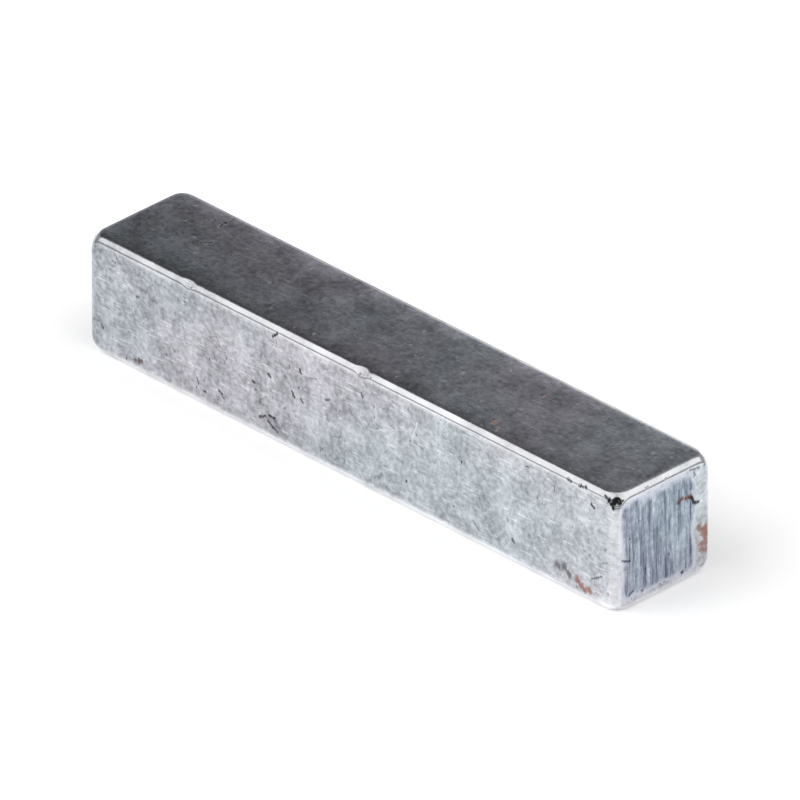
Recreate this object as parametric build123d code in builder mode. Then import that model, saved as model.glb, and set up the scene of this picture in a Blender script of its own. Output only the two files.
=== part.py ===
from build123d import *
import os
from math import sqrt

# Square-ended parallel key, cut from bright drawn square key bar and tumbled.
# The key lies along X with its underside on Z = 0 and its middle over the origin.
# All sizes are in millimetres.

# The bar
length = 28.0
width = 5.0
height = 5.0

# Broken edges: the rims run round the top and the underside, the uprights stand at the ends
rim_radius = 0.28
upright_extra_radius = 0.04   # the uprights are broken this much more than the rims

# Tumbling wears the eight corners rounder than the edges that lead to them
corner_radius = 1.1
edge_clearance = 0.01         # how far the corner wear stays off the middle of an edge

# The chip out of one top corner, at the front of the +X end
chip_radius = 0.19
chip_depth = 0.12
chip_drop = 0.06              # the chip lies this far below the corner's own centre

# Bruises on the front top edge, a light one and a heavy one
light_bruise_from_end = 22.6
light_bruise_radius = 0.45
light_bruise_depth = 0.05
heavy_bruise_from_end = 13.4
heavy_bruise_radius = 0.40
heavy_bruise_depth = 0.09

# How far a round of unit radius pulls in, along each axis, at its middle
edge_pull = 1 - 1 / sqrt(2)
corner_pull = 1 - 1 / sqrt(3)

upright_radius = rim_radius + upright_extra_radius

# The wear shape stands off every face so that it clears the edges and takes only the corners
wear_offset = edge_pull * (corner_radius - rim_radius) + edge_clearance
corner_inset = corner_pull * corner_radius - wear_offset
rim_inset = edge_pull * rim_radius

# A scoop's ball stands outside the surface by its radius less its depth
chip_stand_off = (chip_radius - chip_depth) / sqrt(3)
chip_centre = (
    length / 2 - corner_inset + chip_stand_off,
    -width / 2 + corner_inset - chip_stand_off,
    height - corner_inset + chip_stand_off - chip_drop,
)


def bruise_centre(from_end: float, radius: float, depth: float) -> tuple[float, float, float]:
    """Give the centre of a ball that dents the front top edge at this distance from the +X end."""
    stand_off = (radius - depth) / sqrt(2)
    return (
        length / 2 - from_end,
        -width / 2 + rim_inset - stand_off,
        height - rim_inset + stand_off,
    )


# The outline that tumbling leaves the corners on: a larger block with large rounds
with BuildPart() as corner_wear:
    with BuildSketch(Plane.XY.offset(-wear_offset)):
        Rectangle(length + 2 * wear_offset, width + 2 * wear_offset)
    extrude(amount=height + 2 * wear_offset)
    fillet(corner_wear.edges(), corner_radius)

with BuildPart() as parallel_key:
    # The bar in plan, with its four uprights already broken
    with BuildSketch(Plane.XY):
        RectangleRounded(length, width, upright_radius)
    extrude(amount=height)

    # The rims round the underside and the top
    flats = parallel_key.faces().filter_by(Plane.XY).sort_by(Axis.Z)
    rim_edges = flats[0].edges() + flats[-1].edges()
    fillet(rim_edges, rim_radius)

    # The worn corners
    add(corner_wear.part, mode=Mode.INTERSECT)

    # The chip and the bruises
    with Locations(chip_centre):
        Sphere(chip_radius, mode=Mode.SUBTRACT)
    with Locations(bruise_centre(light_bruise_from_end, light_bruise_radius, light_bruise_depth)):
        Sphere(light_bruise_radius, mode=Mode.SUBTRACT)
    with Locations(bruise_centre(heavy_bruise_from_end, heavy_bruise_radius, heavy_bruise_depth)):
        Sphere(heavy_bruise_radius, mode=Mode.SUBTRACT)

parallel_key.part.label = "parallel_key"

os.makedirs("parts", exist_ok=True)
export_step(parallel_key.part, "parts/parallel_key.step")
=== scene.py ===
import logging
import math
from dataclasses import dataclass, field
from enum import Enum
from functools import partial

import bmesh
import bpy
import numpy as np
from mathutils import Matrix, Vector, noise


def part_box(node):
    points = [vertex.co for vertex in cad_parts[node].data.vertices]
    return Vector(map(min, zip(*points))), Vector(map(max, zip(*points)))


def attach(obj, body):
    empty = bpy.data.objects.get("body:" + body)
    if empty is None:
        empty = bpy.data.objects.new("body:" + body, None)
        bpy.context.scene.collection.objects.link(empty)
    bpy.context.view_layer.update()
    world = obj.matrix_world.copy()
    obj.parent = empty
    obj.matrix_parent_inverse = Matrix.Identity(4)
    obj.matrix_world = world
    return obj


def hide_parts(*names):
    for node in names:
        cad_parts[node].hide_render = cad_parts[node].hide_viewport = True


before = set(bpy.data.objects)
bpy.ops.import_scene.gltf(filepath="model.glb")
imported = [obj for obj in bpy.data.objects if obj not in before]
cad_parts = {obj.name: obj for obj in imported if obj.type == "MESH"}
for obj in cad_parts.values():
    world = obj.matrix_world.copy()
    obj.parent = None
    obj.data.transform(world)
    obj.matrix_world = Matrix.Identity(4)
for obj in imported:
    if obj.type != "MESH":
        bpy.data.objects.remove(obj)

MM = 0.001
NODE = "parallel_key"
FLOAT, INTEGER, VECTOR = "NodeSocketFloat", "NodeSocketInt", "NodeSocketVector"
COLOUR, GEOMETRY, OBJECT = "NodeSocketColor", "NodeSocketGeometry", "NodeSocketObject"
log = logging.getLogger("parallel_key")

Colour = tuple[float, float, float]
Turn = tuple[float, float, float]
Wave = tuple[float, float]


class Face(Enum):
    """A flat of the key, with the axis that it faces and the way it points."""

    TOP = (2, 1)
    UNDERSIDE = (2, -1)
    FRONT = (1, -1)
    BACK = (1, 1)
    SAWN_END = (0, 1)
    FAR_END = (0, -1)


class Layer(Enum):
    """The values that the mesh carries from vertex to vertex, for the finishes to read."""

    SOOT = "soot"
    RUST = "rust"
    SHINE = "shine"
    GROOVE = "groove"
    SAWN = "sawn"
    # rubbed edges, which also carry a painted highlight in the steel's colour
    RUB = "rub"


@dataclass(frozen=True)
class Mark:
    """A pit, nick, stain or scratch on one flat. All lengths are in millimetres.

    Attributes:
        face: The flat that holds the mark.
        along: Its place along the flat, from the sawn end, or from the front on an end.
        down: Its place across the flat, from the top, or from the front on top and underside.
        radius: Half its width.
        depth: How deep it is in the middle.
        soot: How dark it is: 0 is clean, and 1 or more is black.
        rust: How rusty it is, from 0 to 1.
        shine: How bright it is rubbed, from 0 to 1.
        run: How far its other end lies along and down, for a long mark.
    """

    face: Face
    along: float
    down: float
    radius: float
    depth: float = 0.03
    soot: float = 0.8
    rust: float = 0.0
    shine: float = 0.0
    run: tuple[float, float] = (0.0, 0.0)


@dataclass(frozen=True)
class Scoop:
    """A ball-shaped dent, in millimetres: how far it lies from the sawn end, its radius and its depth."""

    from_end: float
    radius: float
    depth: float


def ripple(point: np.ndarray, *waves: Wave) -> float:
    """Return a smooth unevenness at a point: each wave has a height and a number of swings a millimetre."""
    return sum(height * noise.noise(Vector(point) * pitch) for height, pitch in waves)


def show(name: str, data: bpy.types.ID) -> bpy.types.Object:
    """Put a mesh, a camera or a lamp into the scene.

    Args:
        name: The object's name.
        data: What it shows.

    Returns:
        The object.
    """
    piece = bpy.data.objects.new(name, data)
    bpy.context.scene.collection.objects.link(piece)
    return piece


@dataclass
class KeyBar:
    """The key's worn steel bar: its form, its marks and its mesh. Lengths are in millimetres."""

    length: float
    width: float
    height: float

    # The worn outline, as the solid has it, blended where its forms meet
    rim_radius: float = 0.28
    upright_radius: float = 0.32
    corner_radius: float = 1.1
    edge_clearance: float = 0.01
    chip: Scoop = Scoop(0.0, 0.19, 0.12)
    chip_drop: float = 0.06
    bruises: tuple[Scoop, ...] = (Scoop(22.6, 0.45, 0.05), Scoop(13.4, 0.40, 0.09))
    blend: float = 0.04
    dent_blends: tuple[float, ...] = (0.04, 0.12, 0.12)

    # Dark and dull metal in the chip and the bruises, round the deepest point of each
    dent_soot: tuple[float, ...] = (1.3, 0.10, 0.2)
    dent_core: float = 0.5
    dent_reach: float = 0.145
    dent_fade: float = 0.06
    dent_ripple: Wave = (0.16, 9.0)
    dent_near: float = 0.2  # no further out than this does the ripple count
    dull_share: float = 0.35

    # Wear that the solid leaves out: uneven edges, and flats that fall away towards them
    edge_wobble: float = 0.012
    edge_ripples: tuple[Wave, ...] = ((0.6, 2.3), (0.4, 7.0))
    edge_tilt: float = 0.29  # how far the skin leans off square in the middle of an edge
    roll_off: float = 0.035
    roll_width: float = 1.0

    # The mesh's lines
    coarse_step: float = 0.25
    edge_steps: tuple[float, ...] = (
        0.0, 0.03, 0.07, 0.12, 0.18, 0.25, 0.33, 0.42, 0.52, 0.64, 0.78, 0.94, 1.12, 1.32,
    )
    rim_step: float = 0.13
    rim_reach: float = 0.3
    line_step: float = 0.035
    finest_step: float = 0.018
    steps_a_mark: float = 3.5
    mark_reach: float = 1.15
    split_above: float = 1.5  # a line is halved where it is this many times too long
    line_rounds: int = 4
    rim_rounds: int = 2
    mark_rounds: int = 5
    tolerance: float = 1e-6

    # How the mesh is laid onto the worn form
    probe: float = 0.004  # how far aside the form is felt for its slope
    settling_rounds: int = 8

    # The sawn field of each end
    sawn_from_front: float = 0.30
    sawn_from_back: float = 0.95
    sawn_from_top: float = 0.45
    sawn_from_under: float = 0.55
    sawn_fade: float = 0.22
    sawn_start: float = 0.3
    sawn_tilt: float = 0.9  # how squarely the skin has to face along the key
    sawn_ripples: tuple[Wave, ...] = ((0.22, 2.1), (0.12, 6.0))

    # Edges rubbed, and lightened by a painted highlight, each kind of edge by its own share
    rub_and_highlight_width: float = 0.16
    rub_and_highlight_fade: float = 0.26
    long_rub_and_highlight: float = 1.0
    end_rub_and_highlight: float = 0.75
    upright_rub_and_highlight: float = 0.32
    # the painted highlight spreads wider on the front beside the near upright
    upright_rub_and_highlight_spread: float = 0.15
    upright_zone: tuple[float, float] = (1.0, 0.4)
    far_rub_and_highlight: float = 0.6
    far_start: float = 0.75
    rub_and_highlight_ripple: Wave = (0.5, 1.1)

    # Long marks are rows of spots
    seed: int = 3
    spot_gap: float = 0.6
    spot_shift: float = 0.22
    spot_sizes: tuple[float, float] = (0.65, 1.15)
    marks: list[Mark] = field(default_factory=list)

    def half(self) -> np.ndarray:
        """Return half the bar's length, width and height."""
        return np.array([self.length, self.width, self.height]) / 2

    @staticmethod
    def edge_pull() -> float:
        """Return how far the middle of an edge's round lies in from both flats, for a unit radius."""
        return 1 - 1 / math.sqrt(2)

    @staticmethod
    def corner_pull() -> float:
        """Return how far the middle of a corner's round lies in from its flats, for a unit radius."""
        return 1 - 1 / math.sqrt(3)

    def wear_offset(self) -> float:
        """Return how far outside the flats the block lies that tumbling wears the corners to."""
        return self.edge_pull() * (self.corner_radius - self.rim_radius) + self.edge_clearance

    def dents(self) -> list[tuple[np.ndarray, float]]:
        """Work out the ball of each dent: the corner's chip, then the bruises.

        Returns:
            The centre and the radius of each.
        """
        half = self.half()
        corner = self.corner_pull() * self.corner_radius - self.wear_offset()
        corner -= (self.chip.radius - self.chip.depth) / math.sqrt(3)
        centre = np.array([half[0] - corner, corner - half[1], half[2] - corner - self.chip_drop])
        found = [(centre, self.chip.radius)]
        for bruise in self.bruises:
            rim = self.edge_pull() * self.rim_radius - (bruise.radius - bruise.depth) / math.sqrt(2)
            found.append((np.array([half[0] - bruise.from_end, rim - half[1], half[2] - rim]), bruise.radius))
        return found

    @staticmethod
    def rounded_box(points: np.ndarray, half: np.ndarray, radius: float) -> np.ndarray:
        """Return each point's distance from a box with rounded edges, negative inside.

        Args:
            points: The points, one a row.
            half: Half the box's sizes.
            radius: The radius of its edges.

        Returns:
            One distance a point.
        """
        over = np.abs(points) - (half - radius)
        return np.linalg.norm(np.maximum(over, 0), axis=1) + np.minimum(over.max(1), 0) - radius

    @staticmethod
    def smooth_max(first: np.ndarray, second: np.ndarray, blend: float) -> np.ndarray:
        """Return the larger of two distances, blended where they meet.

        Args:
            first: One distance a point.
            second: The other distance a point.
            blend: How wide the blend is.

        Returns:
            One distance a point.
        """
        near = np.maximum(blend - np.abs(first - second), 0) / blend
        return np.maximum(first, second) + near * near * blend / 4

    def distance(self, points: np.ndarray) -> np.ndarray:
        """Return each point's distance from the worn bar, centred on the origin and negative inside.

        Args:
            points: The points, one a row.

        Returns:
            One distance a point.
        """
        half = self.half()
        plan = self.rounded_box(points[:, :2], half[:2], self.upright_radius)
        up = np.abs(points[:, 2]) - half[2]
        both = np.stack([plan, up], 1) + self.rim_radius
        bar = np.linalg.norm(np.maximum(both, 0), axis=1) + np.minimum(both.max(1), 0) - self.rim_radius
        corners = self.rounded_box(points, half + self.wear_offset(), self.corner_radius)
        worn = self.smooth_max(bar, corners, self.blend)
        for (centre, radius), blend in zip(self.dents(), self.dent_blends):
            worn = self.smooth_max(worn, radius - np.linalg.norm(points - centre, axis=1), blend)
        return worn

    def outward(self, points: np.ndarray) -> np.ndarray:
        """Work out the way out of the bar at each point.

        Args:
            points: The points, one a row.

        Returns:
            One unit vector a point.
        """
        ways = []
        for axis in range(3):
            move = np.zeros(3)
            move[axis] = self.probe
            ways.append(self.distance(points + move) - self.distance(points - move))
        slope = np.stack(ways, 1)
        return slope / np.maximum(np.linalg.norm(slope, axis=1, keepdims=True), 1e-9)

    def settle(self, points: np.ndarray) -> np.ndarray:
        """Move points onto the worn bar's surface, and keep them inside its block.

        Args:
            points: Points near the surface, one a row.

        Returns:
            The moved points.
        """
        settled = points.copy()
        for _ in range(self.settling_rounds):
            settled -= self.distance(settled)[:, None] * self.outward(settled)
        half = self.half()
        return np.clip(settled, -half, half)

    def steps(self, span: float) -> np.ndarray:
        """Work out the places of the mesh's lines along a side: close at its ends, wider between.

        Args:
            span: The length of the side.

        Returns:
            One place a line, measured from the middle.
        """
        near = np.array(self.edge_steps)
        inner = span - 2 * near[-1]
        count = max(2, round(inner / self.coarse_step))
        between = near[-1] + inner * np.arange(1, count) / count
        return np.concatenate([near, between, span - near[::-1]]) - span / 2

    def lattice(self) -> bmesh.types.BMesh:
        """Make the closed skin of a box as a grid of quads, with close lines along its edges.

        Returns:
            The grid, in millimetres and centred on the origin.
        """
        lines = [self.steps(s) for s in (self.length, self.width, self.height)]
        last = [len(line) - 1 for line in lines]
        grid = bmesh.new()
        made: dict[tuple[int, int, int], bmesh.types.BMVert] = {}

        def corner(key: tuple[int, int, int]) -> bmesh.types.BMVert:
            """Find the vertex at a crossing of lines, or make it.

            Args:
                key: The numbers of its three lines.

            Returns:
                The vertex.
            """
            if key not in made:
                made[key] = grid.verts.new([lines[a][key[a]] for a in range(3)])
            return made[key]

        for face in Face:
            axis, way = face.value
            u, v = (axis + 1) % 3, (axis + 2) % 3
            for i in range(last[u]):
                for j in range(last[v]):
                    loop = []
                    for du, dv in ((0, 0), (1, 0), (1, 1), (0, 1)):
                        key = [0, 0, 0]
                        key[axis] = last[axis] if way > 0 else 0
                        key[u], key[v] = i + du, j + dv
                        loop.append(corner(tuple(key)))
                    grid.faces.new(loop if way > 0 else loop[::-1])
        return grid

    def place(self, mark: Mark, share: float = 0.0) -> np.ndarray:
        """Return where a mark lies, centred on the bar.

        Args:
            mark: The mark.
            share: How far along its run, from 0 to 1.

        Returns:
            The point, in millimetres.
        """
        half = self.half()
        along = mark.along + share * mark.run[0]
        down = mark.down + share * mark.run[1]
        axis, way = mark.face.value
        spot = np.zeros(3)
        spot[axis] = way * half[axis]
        if axis == 2:
            spot[0], spot[1] = half[0] - along, -half[1] + down
        elif axis == 1:
            spot[0], spot[2] = half[0] - along, half[2] - down
        else:
            spot[1], spot[2] = -half[1] + along, half[2] - down
        return spot

    def spots(self) -> tuple[np.ndarray, np.ndarray]:
        """Return the middles of all marks, long ones as a row of spots, and each spot's values.

        Returns:
            The points, and one row a point of radius, depth, soot, rust and shine.
        """
        chance = np.random.default_rng(self.seed)
        points, values = [], []
        for mark in self.marks:
            count = 1 + int(math.hypot(*mark.run) / (self.spot_gap * mark.radius))
            for i in range(count):
                shift = chance.normal(0, self.spot_shift * mark.radius, 3) if count > 1 else 0
                points.append(self.place(mark, i / max(1, count - 1)) + shift)
                size = mark.radius * (chance.uniform(*self.spot_sizes) if count > 1 else 1)
                values.append((size, mark.depth, mark.soot, mark.rust, mark.shine))
        return self.settle(np.array(points)), np.array(values)

    @staticmethod
    def split(grid: bmesh.types.BMesh, chosen: np.ndarray) -> None:
        """Halve the chosen edges of the grid and join the new points up.

        Args:
            grid: The grid.
            chosen: Whether each of its edges is halved.
        """
        edges = [e for e, pick in zip(grid.edges, chosen) if pick]
        if edges:
            bmesh.ops.subdivide_edges(grid, edges=edges, cuts=1, use_grid_fill=True)

    @staticmethod
    def edge_table(grid: bmesh.types.BMesh) -> tuple[np.ndarray, np.ndarray]:
        """Return the two ends of each edge of the grid, as two arrays of points."""
        ends = np.array([[v.co[:] for v in e.verts] for e in grid.edges])
        return ends[:, 0], ends[:, 1]

    def refine(self, grid: bmesh.types.BMesh, marks: bpy.types.Mesh) -> None:
        """Give the grid finer lines on the ends, along the rims and round each mark.

        Args:
            grid: The bar's box skin.
            marks: A vertex at each mark, with its radius.
        """
        half = self.half()
        for _ in range(self.line_rounds):
            a, b = self.edge_table(grid)
            long_y = np.abs(a[:, 1] - b[:, 1])
            on_end = np.minimum(np.abs(a[:, 0]), np.abs(b[:, 0])) > half[0] - self.tolerance
            self.split(grid, on_end & (long_y > self.line_step))
        for _ in range(self.rim_rounds):
            a, b = self.edge_table(grid)
            mid = np.abs(a + b) / 2
            near_rim = (mid[:, 1] > half[1] - self.rim_reach) & (mid[:, 2] > half[2] - self.rim_reach)
            self.split(grid, near_rim & (np.abs(a[:, 0] - b[:, 0]) > self.rim_step))
        points = np.array([v.co[:] for v in marks.vertices]) / MM - [0, 0, half[2]]
        radii = np.zeros(len(points))
        marks.attributes["mark_radius"].data.foreach_get("value", radii)
        for _ in range(self.mark_rounds):
            a, b = self.edge_table(grid)
            mid, size = (a + b) / 2, np.linalg.norm(a - b, axis=1)
            chosen = np.zeros(len(mid), bool)
            for point, radius in zip(points, radii / MM):
                reach = self.mark_reach * radius + size / 2
                wanted = max(radius / self.steps_a_mark, self.finest_step)
                chosen |= (np.abs(mid - point).max(1) < reach) & (size > self.split_above * wanted)
            self.split(grid, chosen)

    def edge_distance(self, points: np.ndarray) -> np.ndarray:
        """Return how far each surface point lies from the nearest edge of the bar's block."""
        return np.sort(self.half() - np.abs(points), axis=1)[:, 1]

    def wear_down(self, points: np.ndarray, ways: np.ndarray) -> np.ndarray:
        """Return the points worn inwards: the flats roll off towards the edges, and the edges are uneven.

        Args:
            points: The settled vertices.
            ways: The way out of the bar at each.

        Returns:
            The worn vertices.
        """
        rolled = self.roll_off * (1 - np.clip(self.edge_distance(points) / self.roll_width, 0, 1)) ** 2
        edge = np.clip((1 - np.abs(ways).max(1)) / self.edge_tilt, 0, 1)
        rough = np.zeros(len(points))
        for i in np.nonzero(edge > 0.01)[0]:
            rough[i] = ripple(points[i], *self.edge_ripples)
        worn = self.edge_wobble * edge * np.clip(0.5 + rough, 0, 1)
        return points - ways * (rolled + worn)[:, None]

    def sawn_share(self, points: np.ndarray, ways: np.ndarray) -> np.ndarray:
        """Work out how far each vertex lies inside the sawn field of its end.

        Args:
            points: The settled vertices.
            ways: The way out of the bar at each.

        Returns:
            A share from 0 to 1 for each.
        """
        half = self.half()
        insets = (
            points[:, 1] + half[1] - self.sawn_from_front,
            half[1] - points[:, 1] - self.sawn_from_back,
            half[2] - points[:, 2] - self.sawn_from_top,
            points[:, 2] + half[2] - self.sawn_from_under,
        )
        inset = np.min(insets, axis=0)
        flat = np.abs(ways[:, 0]) > self.sawn_tilt
        for i in np.nonzero(flat)[0]:
            inset[i] += ripple(points[i], *self.sawn_ripples)
        return np.clip(inset / self.sawn_fade + self.sawn_start, 0, 1) * flat

    def rubbed(self, points: np.ndarray, ways: np.ndarray) -> np.ndarray:
        """Work out how far each vertex is rubbed and lightened by a painted edge highlight: along the edges,
        and most along the long ones.

        Args:
            points: The settled vertices.
            ways: The way out of the bar at each.

        Returns:
            A share from 0 to 1 or a little over for each.
        """
        half = self.half()
        from_end, from_top = self.upright_zone
        beside_upright = (points[:, 0] > half[0] - from_end) & (points[:, 2] < half[2] - from_top)
        spread = self.upright_rub_and_highlight_spread * (beside_upright & (ways[:, 1] < -0.5))
        rub = 1 - np.clip((self.edge_distance(points) - self.rub_and_highlight_width - spread) / self.rub_and_highlight_fade, 0, 1)
        share = np.square(half - np.abs(points))
        # each kind of edge gets its own strength of rubbing and painted highlight, weaker towards the far end
        gains = np.array([self.long_rub_and_highlight, self.end_rub_and_highlight, self.upright_rub_and_highlight])
        gain = share @ gains / np.maximum(share.sum(1), 1e-9)
        gain *= self.far_rub_and_highlight + (1 - self.far_rub_and_highlight) * np.clip(points[:, 0] / self.length + self.far_start, 0, 1)
        for i in np.nonzero(rub > 0)[0]:
            gain[i] *= 1 + ripple(points[i], self.rub_and_highlight_ripple)
        return rub * rub * (3 - 2 * rub) * gain

    def layers(self, points: np.ndarray, ways: np.ndarray) -> dict[Layer, np.ndarray]:
        """Return the sawn values, the rubbed values with their painted highlight, and the sooty values of
        each vertex.

        Args:
            points: The settled vertices.
            ways: The way out of the bar at each.

        Returns:
            One array of values for each layer.
        """
        half = self.half()
        soot = np.zeros(len(points))
        dull = np.zeros(len(points))
        for (centre, radius), dark in zip(self.dents(), self.dent_soot):
            way = centre - np.clip(centre, self.dent_core - half, half - self.dent_core)
            deepest = centre - radius * way / np.linalg.norm(way)
            beyond = np.linalg.norm(points - deepest, axis=1) - self.dent_reach
            for i in np.nonzero(beyond < self.dent_near)[0]:
                beyond[i] += ripple(points[i], self.dent_ripple)
            inside = 1 - np.clip(beyond / self.dent_fade, 0, 1)
            soot = np.maximum(soot, inside * dark)
            dull = np.maximum(dull, inside)
        return {
            Layer.SAWN: self.sawn_share(points, ways),
            Layer.RUB: self.rubbed(points, ways) * (1 - self.dull_share * dull),
            Layer.SOOT: soot,
        }

    def build(self, name: str, marks: bpy.types.Mesh) -> bpy.types.Object:
        """Build the bar's mesh, closed and with its worn form, and return its object.

        Args:
            name: The object's name.
            marks: A vertex at each mark, with its radius.

        Returns:
            The object, in metres and in the row's frame.
        """
        grid = self.lattice()
        self.refine(grid, marks)
        points = self.settle(np.array([v.co[:] for v in grid.verts]))
        ways = self.outward(points)
        layers = self.layers(points, ways)
        points = self.wear_down(points, ways)
        for vert, point in zip(grid.verts, points):
            vert.co = (Vector(point) + Vector((0, 0, self.height / 2))) * MM
        bmesh.ops.triangulate(grid, faces=grid.faces[:])
        mesh = bpy.data.meshes.new(name)
        grid.to_mesh(mesh)
        grid.free()
        for layer, values in layers.items():
            attribute = mesh.attributes.new(layer.value, "FLOAT", "POINT")
            attribute.data.foreach_set("value", values.astype(np.float32))
        mesh.shade_smooth()
        return show(name, mesh)

    def spot_cloud(self) -> bpy.types.Object:
        """Make an object that holds a loose vertex at each mark, with the mark's values.

        Returns:
            The object.
        """
        points, values = self.spots()
        mesh = bpy.data.meshes.new("mark_spots")
        mesh.from_pydata(((points + [0, 0, self.height / 2]) * MM).tolist(), [], [])
        scales = {"radius": MM, "depth": MM, "soot": 1, "rust": 1, "shine": 1}
        for column, (name, scale) in zip(values.T, scales.items()):
            attribute = mesh.attributes.new("mark_" + name, "FLOAT", "POINT")
            attribute.data.foreach_set("value", (column * scale).astype(np.float32))
        return show("mark_spots", mesh)

    def flats(self) -> bpy.types.Object:
        """Make an object with the bar's six flats as bare faces, clear of the broken edges.

        Returns:
            The object.
        """
        half = self.half()
        flats = bmesh.new()
        for face in Face:
            axis, way = face.value
            loop = []
            for u, v in ((-1, -1), (1, -1), (1, 1), (-1, 1)):
                corner = (half - self.rim_radius) * np.roll([0, u, v], axis)
                corner[axis] = way * half[axis]
                loop.append(flats.verts.new((corner + [0, 0, half[2]]) * MM))
            flats.faces.new(loop if way > 0 else loop[::-1])
        mesh = bpy.data.meshes.new("flats")
        flats.to_mesh(mesh)
        flats.free()
        return show("flats", mesh)


class Tree:
    """A short way to write node trees: nodes are added with their inputs, and inputs take links or values."""

    def __init__(self, tree: bpy.types.NodeTree) -> None:
        """Keep the tree that the nodes go into."""
        self.tree = tree

    def add(self, kind: str, settings: dict | None = None, **inputs: object) -> bpy.types.Node:
        """Add a node.

        Args:
            kind: The node's type name.
            settings: Values for the node's own properties.
            inputs: Values or output sockets, by the input's name with spaces as underscores, or by
                its number as in i0.

        Returns:
            The node.
        """
        node = self.tree.nodes.new(kind)
        for key, value in (settings or {}).items():
            setattr(node, key, value)
        for key, value in inputs.items():
            numbered = key[0] == "i" and key[1:].isdigit()
            self.feed(node.inputs[int(key[1:]) if numbered else key.replace("_", " ")], value)
        return node

    def feed(self, socket: bpy.types.NodeSocket, value: object) -> None:
        """Link an output socket to an input, or set the input's value.

        Args:
            socket: The input.
            value: What goes into it.
        """
        if isinstance(value, bpy.types.NodeSocket):
            self.tree.links.new(value, socket)
        else:
            socket.default_value = value

    def math(self, operation: str, *values: object, clamp: bool = False) -> bpy.types.NodeSocket:
        """Add a sum on numbers or sockets.

        Args:
            operation: The sum's name.
            values: What goes into it, in order.
            clamp: Whether the result is held between 0 and 1.

        Returns:
            The result.
        """
        node = self.add("ShaderNodeMath", {"operation": operation, "use_clamp": clamp})
        for socket, value in zip(node.inputs, values):
            self.feed(socket, value)
        return node.outputs[0]

    def vector(self, operation: str, **inputs: object) -> bpy.types.NodeSocket:
        """Return the result of a sum on vectors, which is a number for a length or a dot product."""
        node = self.add("ShaderNodeVectorMath", {"operation": operation}, **inputs)
        return node.outputs["Value" if operation in ("LENGTH", "DOT_PRODUCT") else "Vector"]

    def ramp(
        self, value: object, low: object, high: object, to_low: float = 0.0, to_high: float = 1.0,
    ) -> bpy.types.NodeSocket:
        """Bring a value smoothly from one range to another, and hold it at the ends.

        Args:
            value: The value.
            low: Where the first range starts, which may be its higher end.
            high: Where it stops.
            to_low: What the start becomes.
            to_high: What the stop becomes.

        Returns:
            The new value.
        """
        node = self.add("ShaderNodeMapRange", {"interpolation_type": "SMOOTHSTEP"})
        for socket, entry in zip(node.inputs, (value, low, high, to_low, to_high)):
            self.feed(socket, entry)
        return node.outputs[0]

    def noise(
        self, place: object, scale: object, detail: float, roughness: float = 0.5,
    ) -> bpy.types.NodeSocket:
        """Return a noise from about 0 to 1, at this many swings a unit of length."""
        sizes = {"Scale": scale, "Detail": detail, "Roughness": roughness}
        return self.add("ShaderNodeTexNoise", Vector=place, **sizes).outputs[0]

    def swing(self, value: object, gain: float) -> bpy.types.NodeSocket:
        """Return a noise moved to swing about 0, and scaled."""
        return self.math("MULTIPLY", self.math("SUBTRACT", value, 0.5), gain)

    def mix(self, share: object, first: object, second: object, blend: str = "MIX") -> bpy.types.NodeSocket:
        """Mix two colours.

        Args:
            share: How much of the second there is, from 0 to 1.
            first: A colour or a socket.
            second: Another one.
            blend: How they are blended.

        Returns:
            The mixed colour.
        """
        node = self.add("ShaderNodeMix", {"data_type": "RGBA", "blend_type": blend})
        self.feed(node.inputs[0], share)
        for socket, colour in ((node.inputs[6], first), (node.inputs[7], second)):
            self.feed(socket, colour if isinstance(colour, bpy.types.NodeSocket) else (*colour, 1.0))
        return node.outputs[2]

    def layer(self, layer: Layer) -> bpy.types.NodeSocket:
        """Return a layer's value in a material."""
        return self.add("ShaderNodeAttribute", {"attribute_name": layer.value}).outputs["Fac"]

    def named(self, name: str) -> bpy.types.NodeSocket:
        """Return a named value of the geometry."""
        return self.add("GeometryNodeInputNamedAttribute", {"data_type": "FLOAT"}, Name=name).outputs[0]

    def store(self, geometry: bpy.types.NodeSocket, name: str, value: object) -> bpy.types.NodeSocket:
        """Store a value at each point of the geometry.

        Args:
            geometry: The geometry.
            name: The name that the value is stored under.
            value: The value.

        Returns:
            The geometry with it.
        """
        settings = {"data_type": "FLOAT", "domain": "POINT"}
        values = {"Geometry": geometry, "Name": name, "Value": value}
        return self.add("GeometryNodeStoreNamedAttribute", settings, **values).outputs[0]

    def press(self, geometry: bpy.types.NodeSocket, depth: bpy.types.NodeSocket) -> bpy.types.NodeSocket:
        """Move each point of the geometry inwards.

        Args:
            geometry: The geometry.
            depth: How far each point moves.

        Returns:
            The moved geometry.
        """
        normal = self.add("GeometryNodeInputNormal").outputs[0]
        inwards = self.vector("SCALE", i0=normal, Scale=self.math("MULTIPLY", depth, -1.0))
        return self.add("GeometryNodeSetPosition", Geometry=geometry, Offset=inwards).outputs[0]

    def dressed(self, geometry: bpy.types.NodeSocket, material: bpy.types.Material) -> bpy.types.NodeSocket:
        """Return the geometry with its instances realised and its material set."""
        real = self.add("GeometryNodeRealizeInstances", Geometry=geometry)
        return self.add("GeometryNodeSetMaterial", Geometry=real.outputs[0], Material=material).outputs[0]


@dataclass(frozen=True)
class SocketSpec:
    """The name, type and starting value of a socket of a node group."""

    name: str
    kind: str
    value: float | None = None


def floats(**values: float | None) -> list[SocketSpec]:
    """Return a number socket for each name, with its spaces as underscores."""
    return [SocketSpec(name.replace("_", " "), FLOAT, value) for name, value in values.items()]


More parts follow.
